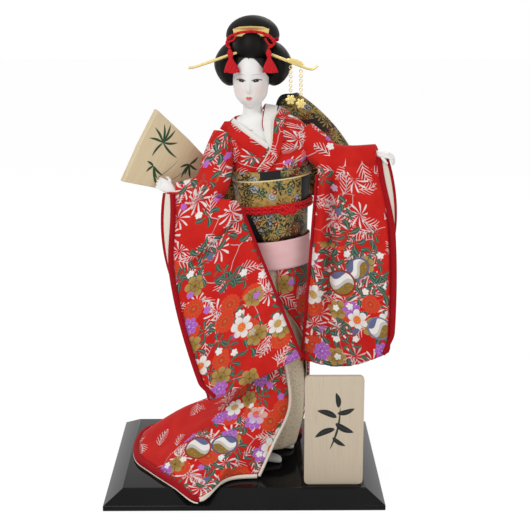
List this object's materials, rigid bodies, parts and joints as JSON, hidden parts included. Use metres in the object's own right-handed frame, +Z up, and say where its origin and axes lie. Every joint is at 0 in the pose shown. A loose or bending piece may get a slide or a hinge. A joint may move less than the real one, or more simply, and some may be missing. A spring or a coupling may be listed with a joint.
{
  "type": "kimono doll",
  "caption": "Dressed doll in a long-sleeved kimono with a trailing hem, holding a battledore, on a bevelled lacquer base beside a bare wooden title plate.",
  "frame": {"origin": "centre of the display base's underside", "axes": "+Z up, +X to the viewer's right, the doll faces -Y"},
  "size_m": [0.3135, 0.2515, 0.5137],
  "materials": {
    "black_lacquer": "gloss black lacquer",
    "pale_wood": "bare planed wood",
    "white_skin": "matt shell-white",
    "black_hair": "combed black hair",
    "gilt_metal": "polished gilt",
    "steel": "plain wire",
    "straw_core": "bound straw and wadding",
    "red_cloth": "printed crepe",
    "white_cloth": "plain weave",
    "cream_cloth": "speckled crepe",
    "pink_cloth": "soft crepe",
    "gold_brocade": "gold brocade",
    "dark_brocade": "dark brocade",
    "red_cord": "braided cord"
  },
  "bodies": {
    "doll": {"arm_padding_left": "straw_core", "arm_padding_right": "straw_core", "bead_pin": "red_cord", "body_core": "straw_core", "collar_left": "red_cloth", "collar_right": "red_cloth", "comb": "gilt_metal", "display_base": "black_lacquer", "foot_left": "white_cloth", "foot_right": "white_cloth", "hagoita_board": "pale_wood", "hair_cord": "red_cord", "hair_crown": "black_hair", "hair_nape": "black_hair", "hair_topknot": "black_hair", "hair_wing_left": "black_hair", "hair_wing_right": "black_hair", "hairpin_left": "gilt_metal", "hairpin_right": "gilt_metal", "hand_left": "white_skin", "hand_right": "white_skin", "head": "white_skin", "kimono_bodice": "red_cloth", "kimono_skirt": "red_cloth", "leg_rod_left": "steel", "leg_rod_right": "steel", "name_plate": "pale_wood", "name_plate_foot": "pale_wood", "obi_band": "gold_brocade", "obi_bow_band": "dark_brocade", "obi_bow_lower": "dark_brocade", "obi_bow_upper": "dark_brocade", "obi_cord": "red_cord", "obi_cord_knot": "red_cord", "obi_scarf": "dark_brocade", "pink_sash": "pink_cloth", "shoulder_plate": "white_skin", "skirt_hem_roll": "red_cloth", "skirt_lining": "cream_cloth", "sleeve_left": "red_cloth", "sleeve_lining_left": "white_cloth", "sleeve_lining_right": "white_cloth", "sleeve_right": "red_cloth", "tassel_left": "red_cord", "tassel_right": "red_cord", "under_collar_left": "white_cloth", "under_collar_right": "white_cloth", "under_skirt": "cream_cloth"},
    "dangle_front": {"dangle_front": "gilt_metal"},
    "dangle_rear": {"dangle_rear": "gilt_metal"}
  },
  "joints": [
    {"name": "dangle_front_swing", "type": "hinge", "parent": "doll", "child": "dangle_front", "pos_m": [0.0498, -0.01723, 0.46269], "axis": [0.9342, -0.098, -0.343], "range_deg": [-35, 12]},
    {"name": "dangle_rear_swing", "type": "hinge", "parent": "doll", "child": "dangle_rear", "pos_m": [0.0606, -0.01836, 0.45873], "axis": [0.9342, -0.098, -0.343], "range_deg": [-35, 12]}
  ]
}
